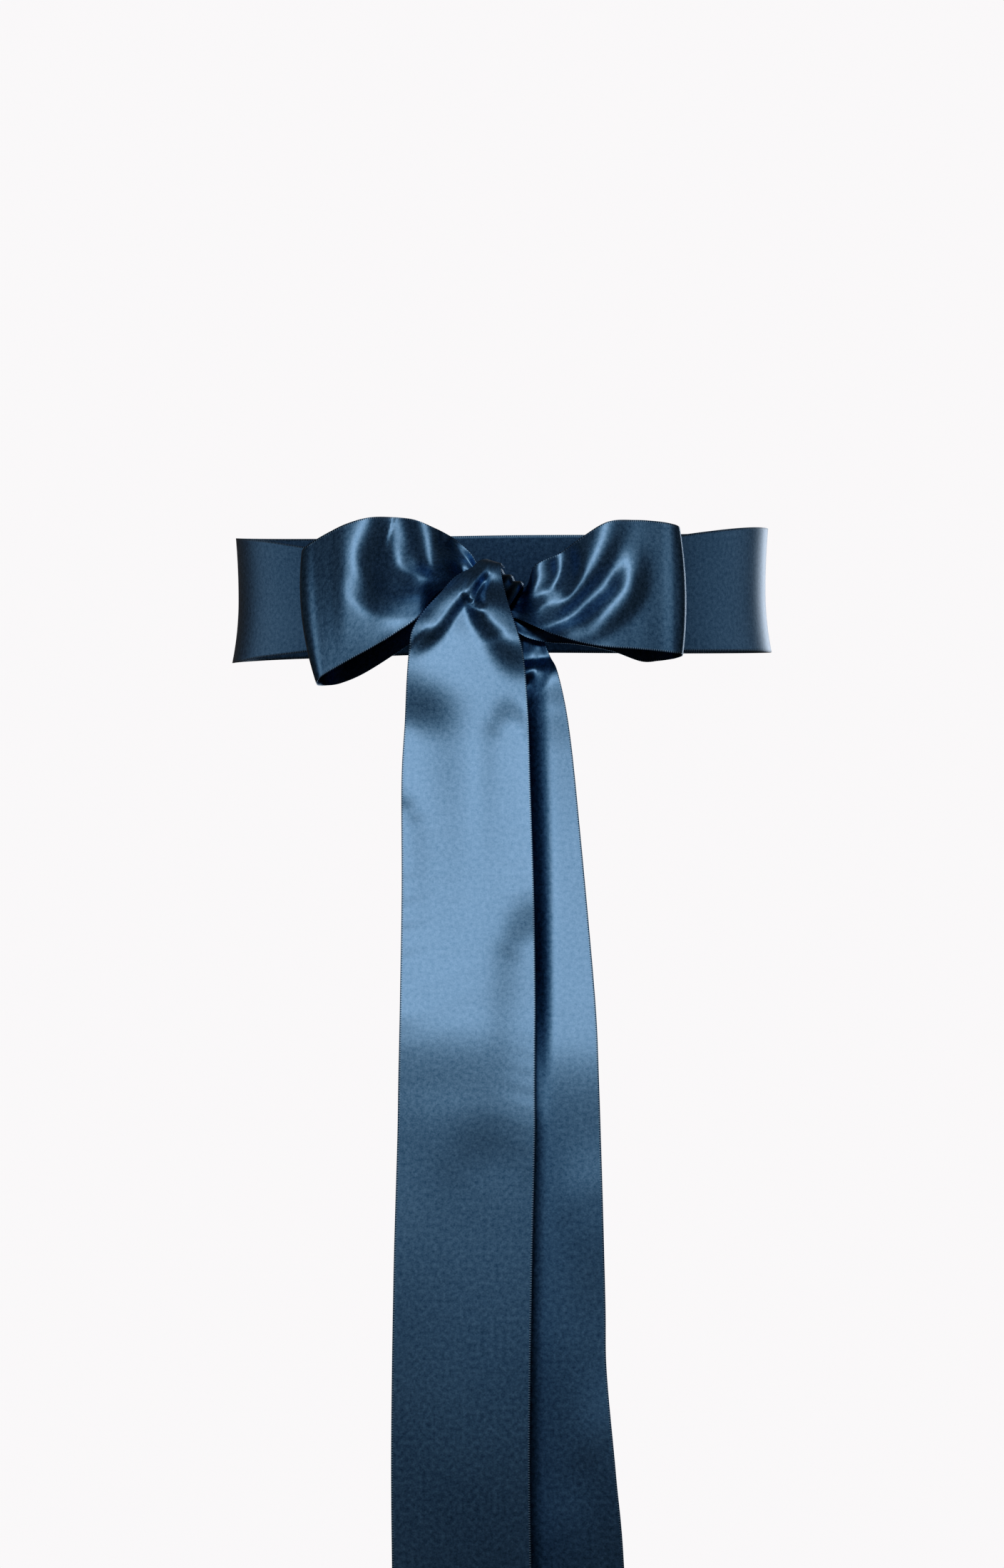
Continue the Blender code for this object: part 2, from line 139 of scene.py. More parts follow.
# The print's contrast: where the toe of each colour ends and how steep it is, and the
# tones through which the curves pass
Toe = namedtuple("Toe", "ends steepness")
RED_TOE, GREEN_TOE, BLUE_TOE = Toe(0.08, 1.9), Toe(0.08, 2.0), Toe(0.082, 2.1)
TONE_STEPS = (0.01, 0.025, 0.05, 0.08, 0.12, 0.18, 0.3, 0.6)

# One section across the ribbon, in mm: its upper and lower edge points, how far its
# upper edge, middle and lower edge stand out behind the knot's middle, how far its
# middle bows sideways, the height of its pleats, and how much of the folds it takes
Section = namedtuple("Section", "x_up z_up x_low z_low d_up d_mid d_low bow pleat folds")

# One soft fold, in mm: the x, z points that its line passes, its height, which is negative
# for a trough, its half-width at the line's start and end, and how many times wider it is on
# the line's left hand, where it is seen from behind and followed from start to end
Fold = namedtuple("Fold", "line height start_width end_width lean", defaults=(1,))

# One section of the waist band: the angle round the waist of its upper and lower
# edge, from the knot and towards +X, their heights in mm, and its pleats in mm
BandSection = namedtuple("BandSection", "angle_up z_up angle_low z_low pleat")


def knot_section(along, up, low, depth, pleat=1.5):
    """A section inside the knot: up and low are its edges' distances from the knot's axis."""
    axis_x = KNOT_X / MM + along * math.cos(KNOT_TILT)
    axis_z = KNOT_Z / MM - along * math.sin(KNOT_TILT)
    side_x, side_z = math.sin(KNOT_TILT), math.cos(KNOT_TILT)
    return Section(
        axis_x + up * side_x, axis_z + up * side_z,
        axis_x + low * side_x, axis_z + low * side_z,
        depth, depth, depth, 0, pleat, 0,
    )


def knot_band_section(along):
    """A section of the waist band inside the knot."""
    row = knot_section(along, BAND_HALF_HEIGHT_IN_KNOT, -BAND_HALF_HEIGHT_IN_KNOT, 0)
    angle_up, angle_low = (
        math.degrees(math.asin(x * MM / WAIST_HALF_WIDTH)) for x in (row.x_up, row.x_low)
    )
    turn = 360 if along < 0 else 0
    return BandSection(angle_up + turn, row.z_up, angle_low + turn, row.z_low, BAND_PLEAT_IN_KNOT)


# How far the knot's mouths, and the ends of the stretches inside it, are from its middle along
# its axis, in mm, and the band's half height and pleats in the knot
MOUTH = KNOT_LENGTH / 2 / MM
INNER_END = 1.5
BAND_HALF_HEIGHT_IN_KNOT = 7.5
BAND_PLEAT_IN_KNOT = 0.8

WAIST_BAND = [
    knot_band_section(INNER_END),
    knot_band_section(MOUTH),
    BandSection(8.5, -3, 6.0, -24, 1.0),
    BandSection(15.0, 7, 13.6, -32, 1.3),
    BandSection(23.3, 18, 22.5, -34.5, 0.9),
    BandSection(32.1, 26, 32.1, -36, 0.5),
    BandSection(41.8, 31.5, 41.8, -36.7, 0.2),
    BandSection(62, 37.5, 62, -35.5, 0),
    BandSection(85, 40.2, 85, -34.6, 0),
    BandSection(135, 43, 135, -32, 0),
    BandSection(180, 44.5, 180, -30.5, 0),
    BandSection(225, 40, 225, -35, 0),
    BandSection(275, 34.2, 275, -41.1, 0),
    BandSection(298, 30, 298, -39.3, 0),
    BandSection(316.3, 23.8, 316.3, -36.6, 0.2),
    BandSection(327.9, 20, 327.9, -33.5, 0.5),
    BandSection(337.8, 15, 337, -29, 0.9),
    BandSection(346.6, 9.5, 345.4, -22.5, 1.3),
    BandSection(353.2, 5, 351.8, -12, 1.0),
    knot_band_section(-MOUTH),
    knot_band_section(-INNER_END),
]

LEFT_LOOP = [
    knot_section(-INNER_END, 11.2, -11.2, 1.5),
    knot_section(-MOUTH, 11.2, -11.2, 1.5),
    Section(-12.5, 9.5, -19.5, -7, 5, 6, 5, 0, 1.4, 0.1),
    Section(-18, 17.5, -26, -2, 5.5, 7.5, 7, 0, 1.0, 0.5),
    Section(-27, 25.5, -33, -2.5, 9, 11, 9.5, 0, 0.5, 0.9),
    Section(-38.7, 31, -40, -9, 14.5, 15, 14, 0, 0, 1),
    Section(-50, 35.6, -47.5, -20, 16, 16, 24, 0, 0, 1),
    Section(-62.4, 37.2, -60, -29, 15, 21, 25, 0, 0, 1),
    Section(-75.3, 36.7, -73, -37, 18, 26, 21.8, 0, 0, 1),
    Section(-88, 33.2, -86, -44, 17, 25.5, 18.8, 0, 0, 1),
    Section(-98, 28.6, -95, -49, 14.5, 22.9, 16.6, 0, 0, 0.7),
    Section(-106, 24.2, -101, -52.5, 12.6, 20.7, 15.1, -1, 0, 0.4),
    Section(-111.5, 20.5, -104, -55, 11.4, 19.2, 14.2, -3, 0, 0.1),
    Section(-113.6, 18.2, -105.4, -56.4, 8, 14.5, 10, -3.7, 0, 0),
    Section(-113.7, 17, -105.6, -57, -2, 2, -2, -3.7, 0, 0),
    Section(-112, 15, -105.3, -57.5, -13, -11, -12, -3, 0, 0),
    Section(-106, 14.5, -101.5, -57.3, -23, -22, -22, -1, 0, 0),
    Section(-96, 16.5, -93.5, -56, -27, -26, -26, 0, 0, 0),
    Section(-82, 22, -80, -50.5, -24, -22, -23, 0, 0, -0.1),
    Section(-62, 22, -61, -39, -17, -15, -16, 0, 0.3, -0.2),
    Section(-42, 15, -42, -26, -11, -10, -11, 0, 0.7, -0.2),
    Section(-24, 8, -26, -16, -6, -5.5, -6, 0, 1.2, 0),
    knot_section(-MOUTH, 10.5, -10.5, -4),
    knot_section(-INNER_END, 10.5, -10.5, -4),
]

LEFT_LOOP_FOLDS = [
    Fold([(-62, 32), (-65, 18), (-63, 8), (-56, 2), (-45, 0), (-32, -1), (-18, -3)], -5.5, 16.5, 6, 0.8),
    Fold([(-82, -2), (-70, -8), (-58, -11), (-44, -10), (-28, -6), (-12, -5)], -4, 9, 6),
    Fold([(-43, 44), (-41.5, 30), (-40, 18), (-33.5, 8), (-23, 2)], 4, 11, 7),
    Fold([(-25, 40), (-25, 24), (-19, 8)], -6.5, 9, 6),
]

RIGHT_LOOP = [
    knot_section(INNER_END, 11.2, -8, 5),
    knot_section(MOUTH, 11.2, -8, 5),
    Section(14.5, -1, 8.5, -20, 7, 8, 7, 0, 0.8, 0.3),
    Section(19, 9.8, 17, -24, 11, 14, 12, 0, 0.5, 0.9),
    Section(31.7, 16.3, 29.5, -29.5, 13, 18, 15, 0, 0.2, 1),
    Section(45, 25.5, 43.5, -34, 15, 20, 17, 0, 0, 1),
    Section(60, 34.3, 58, -36.6, 17, 22, 19.5, 0, 0, 1),
    Section(76, 35.5, 76, -37.8, 14.6, 19.8, 17.4, 0, 0, 1),
    Section(90, 34.7, 90, -39, 12, 17.2, 14.8, 0, 0, 0.6),
    Section(98, 33.2, 98.3, -40, 10.6, 15.8, 13.4, 0.6, 0, 0.2),
    Section(100.8, 32, 102.2, -40.3, 7, 12.5, 10, 2, 0, 0),
    Section(100.8, 31.2, 103, -40.6, -1, 1, -1, 2.9, 0, 0),
    Section(99.5, 30.4, 102.6, -41, -12, -10, -11, 2.5, 0, 0),
    Section(95.5, 30, 98.5, -42, -21, -19.5, -19.5, 1, 0, 0),
    Section(88, 29.8, 90, -43.1, -25, -23, -23, 0, 0, 0),
    Section(79, 29, 80, -43.4, -23, -21, -21, 0, 0, -0.1),
    Section(61, 22, 62, -37.5, -16, -14, -13, 0, 0.3, -0.2),
    Section(42, 12, 41, -34, -9, -7, -5, 0, 0.7, -0.2),
    Section(26, 3, 24, -33, -4, -2, 0, 0, 1.0, 0),
    Section(15, -3, 11, -29, -1, 0, 1, 0, 1.2, 0),
    knot_section(MOUTH, 9, -9, 0),
    knot_section(INNER_END, 9, -9, 0),
]

RIGHT_LOOP_FOLDS = [
    Fold([(5, -14), (10, -8), (15, 3), (20, 14)], 4, 8, 9),
    Fold([(28, -8), (33, -3), (36, 4), (36, 12), (33, 22)], -4.5, 6, 8),
    Fold([(6, -23), (19, -18), (28, -13.5), (38, -5), (47, 6), (54, 19), (60, 44)], 4.5, 6, 11),
    Fold([(12, -27), (27, -21.5), (38, -18), (50, -9.5), (60, 2), (66, 18)], -4, 6, 10),
    Fold([(73, 18), (71.5, 2), (67, -9), (56, -19.5), (46, -27), (34, -30), (16, -27)], 3.5, 10, 7),
]

FRONT_TAIL = [
    Section(-6.5, 13, 1.5, 9.5, -3, -3, -3, 0, 0, 0),
    Section(-8, 13.8, 0, 11, 2.5, 2.5, 2.5, 0, 0, 0),
    Section(-10, 13.6, -0.5, 11.2, 8.5, 9, 8.5, 0, 0, 0),
    Section(-13.5, 11.8, -0.7, 10, 14, 15, 14.5, 0, 0.4, 0.1),
    Section(-17.6, 8, -0.4, 5, 17, 18.5, 17.5, 0, 0.4, 0.4),
    Section(-26.5, 3, 1, -2, 19.5, 21, 18.5, 0, 0, 0.8),
    Section(-34, -5.5, 3.5, -12, 23, 24, 21, 0, 0, 1),
    Section(-44, -16.5, 7, -22.5, 26, 27.5, 24, 0, 0, 1),
    Section(-50.5, -27.5, 10, -32.5, 29, 30.5, 27, 0, 0, 1),
    Section(-52.4, -40, 12.2, -43, 31.5, 33, 30, 0, 0, 1),
    Section(-53.6, -57, 13.8, -59, 35, 36.5, 34.5, 0, 0, 1),
    Section(-54.6, -80, 15, -81, 40, 41, 40.5, 0, 0, 1),
    Section(-56.2, -113, 15.9, -113, 47.5, 48.5, 48, 0, 0, 1),
    Section(-55.7, -175, 17.8, -175, 62, 63, 62.5, 0, 0, 1),
    Section(-56.1, -231, 18.5, -231, 76.5, 77.5, 77, 0, 0, 1),
    Section(-56.4, -255, 18.3, -256, 81.5, 83.7, 83.5, 0, 0, 1),
    Section(-56.8, -279, 18.1, -282, 85, 88, 89, 0, 0, 1),
    Section(-57.2, -310, 18, -310, 89.5, 92.7, 93.7, 0, 0, 1),
    Section(-59, -384, 16.3, -384, 99, 101, 102, 0, 0, 1),
    Section(-60, -480, 15.1, -480, 107, 108.5, 109, 0, 0, 1),
    Section(-59, -570, 16.4, -570, 112.5, 113.5, 113.5, 0, 0, 1),
    Section(-58.5, -670, 17.2, -670, 117, 118, 117.5, 0, 0, 1),
]

FRONT_TAIL_FOLDS = [
    Fold(
        [(-10, 11), (-14, 5), (-19, -1), (-25, -7), (-31, -14), (-37, -22), (-44, -29), (-52, -37)],
        5.5, 6, 12, 0.6,
    ),
    Fold([(-8, 5), (-11.5, -2), (-13.2, -7), (-13.2, -13)], -5, 2.4, 3, 1.2),
    Fold([(-10, 9), (-16.5, 1), (-18.5, -7), (-15.5, -14), (-8, -17)], 1.6, 3, 3.5),
    Fold([(-13.5, -12), (-8.5, -16.5), (-1, -21.5), (7, -28), (13, -42)], 8.5, 5, 17, 1.5),
    Fold([(-57, -64), (-55, -90), (-56, -98), (-57, -108), (-58, -260)], -6.5, 18, 36),
    Fold([(-60, -124), (-59, -134), (-59, -140), (-59, -150), (-59, -230)], -1.6, 9, 16),
    Fold([(3, -70), (5, -84), (5, -92), (5, -102), (6, -200)], -2, 8, 18),
    Fold([(17, -184), (18, -206), (18, -216), (18, -226), (14, -340)], -3, 13, 22),
    Fold([(-6, -306), (-6, -330), (-6, -338), (-6, -350), (-6, -460)], -2.2, 22, 32),
]

BACK_TAIL = [
    knot_section(INNER_END, 0, -11.2, -4.5, 1.0),
    knot_section(MOUTH, 0, -11.2, -4.5, 1.0),
    Section(15, -16, 7, -25, -5, -5, -5, 0, 1.0, 0),
    Section(21.5, -27, 6, -34, -7, -6.5, -6, 0, 0.8, 0),
    Section(27.5, -41, 0, -44, -5, -4.5, -5, 0, 0.3, 0.5),
    Section(31.5, -50, -10, -53, 5.5, 7, 5.5, 0, 0.1, 1),
    Section(36.3, -71, -22, -73, 9, 10.5, 9, 0, 0, 1),
    Section(40, -98, -28, -99, 13, 14, 12.5, 0, 0, 1),
    Section(43.9, -139, -29, -139, 21.5, 22.5, 21.5, 0, 0, 1),
    Section(48.4, -190, -26.5, -190, 35.5, 36, 35, 0, 0, 1),
    Section(52.3, -240, -24, -240, 50.5, 50.5, 49, 0, 0, 1),
    Section(53.7, -277, -22.5, -277, 60, 59.5, 56.5, 0, 0, 1),
    Section(55.2, -330, -21.2, -330, 67, 66.5, 63.5, 0, 0, 1),
    Section(56.9, -400, -19.5, -400, 74.5, 74, 71.5, 0, 0, 1),
    Section(57.5, -437, -19, -437, 78, 77.5, 75.5, 0, 0, 1),
    Section(62.5, -493, -13.9, -493, 82, 81.5, 80, 0, 0, 1),
    Section(67, -547, -9.4, -547, 86, 85.5, 84, 0, 0, 1),
    Section(72, -684, -4.2, -684, 92, 91.5, 90, 0, 0, 1),
]

BACK_TAIL_FOLDS = [
    Fold([(24, -38), (23, -46), (20, -54), (14, -60)], -3, 4, 5),
    Fold([(4, -20), (8, -60), (11, -110), (14, -170), (16, -230), (18, -300)], -11, 14, 7),
    Fold([(52, -322), (52, -345), (52, -350), (52, -354), (54, -400)], 1.6, 20, 16),
    Fold([(60, -446), (61, -474), (62, -480), (63, -486), (66, -540)], 1.8, 20, 16),
]


def through(values, position):
    """A smooth curve through the rows of values: position 0 is the first row, 1 the next."""
    values = np.asarray(values, float)
    last = len(values) - 1
    position = np.clip(np.asarray(position, float), 0, last)
    start = np.minimum(position.astype(int), last - 1)
    share = (position - start)[:, None]
    a, b, c, d = (values[np.clip(start + step, 0, last)] for step in (-1, 0, 1, 2))
    return 0.5 * (
        2 * b
        + (c - a) * share
        + (2 * a - 5 * b + 4 * c - d) * share**2
        + (3 * b - a - 3 * c + d) * share**3
    )


def closer_at_start(share):
    """Stations that crowd towards the start of a tail."""
    return share**TAIL_CROWDING


def closer_at_ends(share):
    """Stations that crowd towards both ends of the band."""
    return share - BAND_CROWDING * np.sin(2 * math.pi * share) / (2 * math.pi)


def evenly(share):
    """Stations at even steps."""
    return share


def positions(middles, cells, spacing):
    """Positions along the rows, spaced by distance along the middle line."""
    fine = np.linspace(0, len(middles) - 1, FINE_STEPS * len(middles))
    line = through(middles, fine)
    run = np.concatenate([[0], np.cumsum(np.linalg.norm(np.diff(line, axis=0), axis=1))])
    return np.interp(spacing(np.linspace(0, 1, cells + 1)) * run[-1], run, fine)


def fold_height(x, z, folds):
    """How far the folds push the cloth outwards at the points x, z, in mm."""
    total = np.zeros_like(x)
    for fold in folds:
        share = np.linspace(0, 1, FOLD_STEPS * len(fold.line))
        line = through(fold.line, share * (len(fold.line) - 1))
        start, step = line[:-1], np.diff(line, axis=0)
        from_x, from_z = x[..., None] - start[:, 0], z[..., None] - start[:, 1]
        part = (from_x * step[:, 0] + from_z * step[:, 1]) / (step**2).sum(axis=1)
        part = np.clip(part, 0, 1)
        away = (from_x - part * step[:, 0]) ** 2 + (from_z - part * step[:, 1]) ** 2
        place = share[:-1] + part * (share[1] - share[0])
        width = fold.start_width + (fold.end_width - fold.start_width) * place
        on_left = from_z * step[:, 0] > from_x * step[:, 1]
        width = width * np.where(on_left, fold.lean, 1)
        fade = np.minimum(1, np.minimum(place, 1 - place) / FOLD_FADE)
        fade = fade * fade * (3 - 2 * fade)
        total += fold.height * (np.exp(-((away / width**2) ** FOLD_ROUNDNESS)) * fade).max(axis=-1)
    return total


def ribbon_grid(sections, folds, cells, spacing):
    """The points of a stretch of ribbon, one row of points for each station along it."""
    along, across = cells
    table = np.array(sections, float)
    rows = Section(*table.T)
    middles = np.stack([(rows.x_up + rows.x_low) / 2, rows.d_mid, (rows.z_up + rows.z_low) / 2], axis=1)
    table = through(table, positions(middles, along, spacing))
    rows = Section(*table.T[..., None])
    t = np.linspace(0, 1, across + 1)[None, :]
    x = rows.x_up + (rows.x_low - rows.x_up) * t + 4 * rows.bow * t * (1 - t)
    z = rows.z_up + (rows.z_low - rows.z_up) * t

    # A parabola through the depths of the upper edge, the middle and the lower edge
    depth = (
        rows.d_up * (1 - t) * (1 - 2 * t)
        + 4 * rows.d_mid * t * (1 - t)
        + rows.d_low * t * (2 * t - 1)
    )
    depth = depth + rows.pleat * np.cos(2 * math.pi * PLEATS * t)
    depth = depth + rows.folds * fold_height(x, z, folds)
    return np.stack([x * MM, KNOT_Y - depth * MM, z * MM], axis=-1)


def waist_plan(angle, outwards):
    """x and y of the band's path, outwards of the waist. Behind, it runs straight to the knot."""
    x = WAIST_HALF_WIDTH * np.sin(angle)
    y = -WAIST_HALF_DEPTH * np.cos(angle)
    reach = BAND_LEAVES_BACK_AT / WAIST_HALF_WIDTH
    leave_y = -WAIST_HALF_DEPTH * math.sqrt(1 - reach**2)
    slope = WAIST_HALF_DEPTH * reach / WAIST_HALF_WIDTH / math.sqrt(1 - reach**2)
    behind = (np.abs(x) < BAND_LEAVES_BACK_AT) & (y < 0)
    aside = np.hypot(x, BAND_TURN_IN_KNOT)
    leave_aside = math.hypot(BAND_LEAVES_BACK_AT, BAND_TURN_IN_KNOT)
    y = np.where(behind, leave_y - slope * (leave_aside - aside), y)
    normal_x = np.where(behind, slope * x / aside, x / WAIST_HALF_WIDTH**2)
    normal_y = np.where(behind, -1.0, y / WAIST_HALF_DEPTH**2)
    length = np.hypot(normal_x, normal_y)
    return x + outwards * normal_x / length, y + outwards * normal_y / length


def band_grid(sections, cells):
    """The points of the band round the waist."""
    along, across = cells
    table = np.array(sections, float)
    rows = BandSection(*table.T)
    middle_x, middle_y = waist_plan(np.radians((rows.angle_up + rows.angle_low) / 2), 0.0)
    middles = np.stack([middle_x, middle_y], axis=1)
    table = through(table, positions(middles, along, closer_at_ends))
    rows = BandSection(*table.T[..., None])
    t = np.linspace(0, 1, across + 1)[None, :]
    angle = np.radians(rows.angle_up + (rows.angle_low - rows.angle_up) * t)
    z = rows.z_up + (rows.z_low - rows.z_up) * t
    from_middle = 2 * t - 1
    spread = np.clip((rows.z_up - rows.z_low) * MM / RIBBON_WIDTH, 0, 1) ** FLARE_POWER
    flare = np.where(from_middle < 0, TOP_FLARE, BOTTOM_FLARE) * from_middle**2 * spread
    outwards = flare + rows.pleat * MM * np.cos(2 * math.pi * PLEATS * t)
    x, y = waist_plan(angle, outwards)
    return np.stack([x, y, z * MM], axis=-1)


def knot_grid(cells):
    """The points of the knot's wrap, a row for each step round its axis."""
    around, along = cells
    turn = np.linspace(0, 2 * math.pi, around, endpoint=False)[:, None]
    share = np.linspace(-0.5, 0.5, along + 1)[None, :]
    ridge = KNOT_RIDGE * np.cos(2 * math.pi * KNOT_RIDGES * share + KNOT_RIDGE_SLANT * np.sin(turn))
    power = 2 / KNOT_SQUARENESS
    up = (KNOT_HALF_HEIGHT + ridge) * np.sign(np.cos(turn)) * np.abs(np.cos(turn)) ** power
    out = (KNOT_HALF_DEPTH + ridge) * np.sign(np.sin(turn)) * np.abs(np.sin(turn)) ** power
    run = share * KNOT_LENGTH
    x = KNOT_X + run * math.cos(KNOT_TILT) + up * math.sin(KNOT_TILT)
    z = KNOT_Z - run * math.sin(KNOT_TILT) + up * math.cos(KNOT_TILT)
    return np.stack([x, KNOT_Y - out, z], axis=-1)


class Nodes:
    """Small helper: adds shader nodes and links them."""

    def __init__(self, tree):
        self.tree = tree

    def add(self, kind, **values):
        node = self.tree.nodes.new(kind)
        for name, value in values.items():
            setattr(node, name, value)
        return node

    def link(self, start, end):
        self.tree.links.new(start, end)

    def give(self, value, socket):
        """Sets the socket to a number or a colour, or links it to another node's output."""
        if isinstance(value, (int, float, tuple)):
            socket.default_value = value
        else:
            self.link(value, socket)

    def math(self, operation, *values):
        node = self.add("ShaderNodeMath", operation=operation)
        for value, socket in zip(values, node.inputs):
            self.give(value, socket)
        return node.outputs[0]

    def mix(self, share, first, second):
        node = self.add("ShaderNodeMix", data_type="RGBA")
        self.give(share, node.inputs["Factor"])
        self.give(first, node.inputs["A"])
        self.give(second, node.inputs["B"])
        return node.outputs["Result"]

    def noise(self, place, grain):
        node = self.add("ShaderNodeTexNoise")
        self.give(place, node.inputs["Vector"])
        self.give(grain.per_metre, node.inputs["Scale"])
        self.give(grain.detail, node.inputs["Detail"])
        return node.outputs["Fac"]


def satin_material():
    """Blue satin, with its place on the ribbon in metres as its map."""
    material = bpy.data.materials.new("blue_satin_cloth")
    material.use_nodes = True
    n = Nodes(material.node_tree)
    shader = material.node_tree.nodes["Principled BSDF"]
    place = n.add("ShaderNodeUVMap", uv_map="ribbon").outputs[0]
    split = n.add("ShaderNodeSeparateXYZ")
    n.link(place, split.inputs[0])
    across, along = split.outputs[0], split.outputs[1]

    # Grain of the satin: fine specks, coarser specks, and wide soft clouds
    fine, coarse, cloudy = (n.noise(place, grain) for grain in (FINE_SPECKS, COARSE_SPECKS, CLOUDS))
    specks = n.math("MULTIPLY_ADD", coarse, COARSE_SHARE, n.math("MULTIPLY", fine, 1 - COARSE_SHARE))
    shade = n.math("MULTIPLY_ADD", n.math("SUBTRACT", specks, 0.5), SPECK_CONTRAST, 0.5)
    shade = n.math("MULTIPLY_ADD", n.math("SUBTRACT", cloudy, 0.5), CLOUD_CONTRAST, shade)
    satin = n.mix(shade, DARK_SATIN, LIGHT_SATIN)

    # Woven edge: a narrow band along each selvedge with light and dark picks
    from_edge = n.math("MINIMUM", across, n.math("SUBTRACT", RIBBON_WIDTH, across))
    on_edge = n.math("LESS_THAN", from_edge, SELVEDGE)
    light_pick = n.math("GREATER_THAN", n.math("PINGPONG", along, PICK / 2), PICK / 4)
    picks = n.mix(light_pick, DARK_PICK, LIGHT_PICK)
    n.link(n.mix(on_edge, satin, picks), shader.inputs["Base Color"])

    # Shine, drawn out along the ribbon by its threads
    tangent = n.add("ShaderNodeTangent", direction_type="UV_MAP", uv_map="ribbon")
    n.link(tangent.outputs[0], shader.inputs["Tangent"])
    n.give(METALLIC, shader.inputs["Metallic"])
    n.give(ANISOTROPIC, shader.inputs["Anisotropic"])
    roughness = n.math("MULTIPLY_ADD", specks, ROUGHNESS_OF_SPECKS, ROUGHNESS)
    n.link(roughness, shader.inputs["Roughness"])

    # Relief of the specks and of the light picks
    relief = n.add("ShaderNodeBump")
    n.give(RELIEF_STRENGTH, relief.inputs["Strength"])
    n.give(RELIEF_DEPTH, relief.inputs["Distance"])
    raised = n.math("MULTIPLY", on_edge, light_pick)
    n.link(n.math("ADD", specks, raised), relief.inputs["Height"])
    n.link(relief.outputs["Normal"], shader.inputs["Normal"])
    return material


def cloth(name, grid, material, node, closed=False):
    """A thin sheet through the grid of points, with a map of its place on the ribbon."""
    stations, points = grid.shape[:2]
    steps = stations if closed else stations - 1
    i, j = np.meshgrid(np.arange(steps), np.arange(points - 1), indexing="ij")
    here, there = i * points + j, (i + 1) % stations * points + j
    corners = np.stack([here, here + 1, there + 1, there], axis=-1).reshape(-1, 4)
    mesh = bpy.data.meshes.new(name)
    mesh.from_pydata(grid.reshape(-1, 3).tolist(), [], corners.tolist())

    # The map: how far a point is across the ribbon and along it, in metres
    middle = grid[:, points // 2]
    if closed:
        middle = np.concatenate([middle, middle[:1]])
    run = np.concatenate([[0], np.cumsum(np.linalg.norm(np.diff(middle, axis=0), axis=1))])
    share = np.arange(points) / (points - 1)
    row_of = np.stack([i, i, i + 1, i + 1], axis=-1).reshape(-1)
    column_of = np.stack([j, j + 1, j + 1, j], axis=-1).reshape(-1)
    layer = mesh.uv_layers.new(name="ribbon")
    place = np.stack([share[column_of] * RIBBON_WIDTH, run[row_of]], axis=-1)
    layer.data.foreach_set("uv", place.astype(np.float32).ravel())
    mesh.polygons.foreach_set("use_smooth", [True] * len(mesh.polygons))
    mesh.materials.append(material)
    obj = bpy.data.objects.new(name, mesh)
    bpy.context.scene.collection.objects.link(obj)
    wall = obj.modifiers.new("cloth", "SOLIDIFY")
    wall.thickness = CLOTH_THICKNESS
    wall.offset = 0.0
    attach(obj, "root")
    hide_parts(node)
    return obj


def softbox(name, place, target, size, watts, falls_on=()):
    """A plain white softbox. Where pieces are given, it falls on those alone."""
    light = bpy.data.lights.new(name, "AREA")
    light.shape = "RECTANGLE"
    light.size, light.size_y = size
    light.energy = watts
    obj = bpy.data.objects.new(name, light)
    obj.location = place
    obj.rotation_euler = (Vector(target) - obj.location).to_track_quat("-Z", "Y").to_euler()
    bpy.context.scene.collection.objects.link(obj)
    if falls_on:
        lit = bpy.data.collections.new(name + "_falls_on")
        for piece in falls_on:
            lit.objects.link(piece)
        obj.light_linking.receiver_collection = lit
    return obj


def room():
    """A dim warm room, which the cloth sees, and a pale backdrop, which the camera sees."""
    world = bpy.data.worlds.new("studio")
    bpy.context.scene.world = world
    world.use_nodes = True
    n = Nodes(world.node_tree)
    background = world.node_tree.nodes["Background"]
    seen_by_camera = n.add("ShaderNodeLightPath").outputs["Is Camera Ray"]
    n.link(n.mix(seen_by_camera, ROOM_LIGHT, BACKDROP), background.inputs["Color"])
    n.give(1.0, background.inputs["Strength"])


def cloth_lights(band, knot, loops, tails):
    """The softboxes. Most fall on some pieces alone, so that the others keep the photo's tones."""
    # Behind the wearer, where the camera is: the streaks on the loops and the shine of the tails
    softbox(
        "key", place=(-0.22, -2.0, 0.86), target=(0, -0.16, -0.15), size=(0.5, 0.4),
        watts=18, falls_on=loops + tails,
    )
    softbox(
        "right_fill", place=(0.5, -1.9, 0.5), target=(0.06, -0.15, 0), size=(0.6, 0.6),
        watts=2.0, falls_on=loops[1:],
    )
    low_fill = softbox(
        "low_fill", place=(-0.1, -1.6, -0.2), target=(0, -0.22, -0.38), size=(0.5, 0.3),
        watts=0.03, falls_on=tails,
    )
    low_fill.data.spread = LOW_FILL_SPREAD

    # In front of the wearer: one low down for the loops and tails, and one for every piece
    softbox(
        "inside", place=(0.4, 1.5, -0.85), target=(0, -0.18, -0.35), size=(1.2, 0.6),
        watts=9, falls_on=loops + tails,
    )
    softbox("front", place=(0.95, 1.55, 0.15), target=(0, 0.05, 0), size=(0.6, 1.0), watts=6.5)

    # At the wearer's sides and above the waist: the band, and from the right the knot too
    softbox(
        "side_left", place=(-1.3, -0.1, 0.1), target=(0, -0.05, 0), size=(1.5, 0.8),
        watts=2.2, falls_on=[band],
    )
    softbox(
        "side_right", place=(1.3, -0.1, 0.1), target=(0, -0.05, 0), size=(1.5, 0.8),
        watts=2.0, falls_on=[band, knot],
    )
    softbox(
        "above", place=(0, -0.1, 0.5), target=(0, 0.11, 0), size=(0.3, 0.2),
        watts=0.5, falls_on=[band],
    )


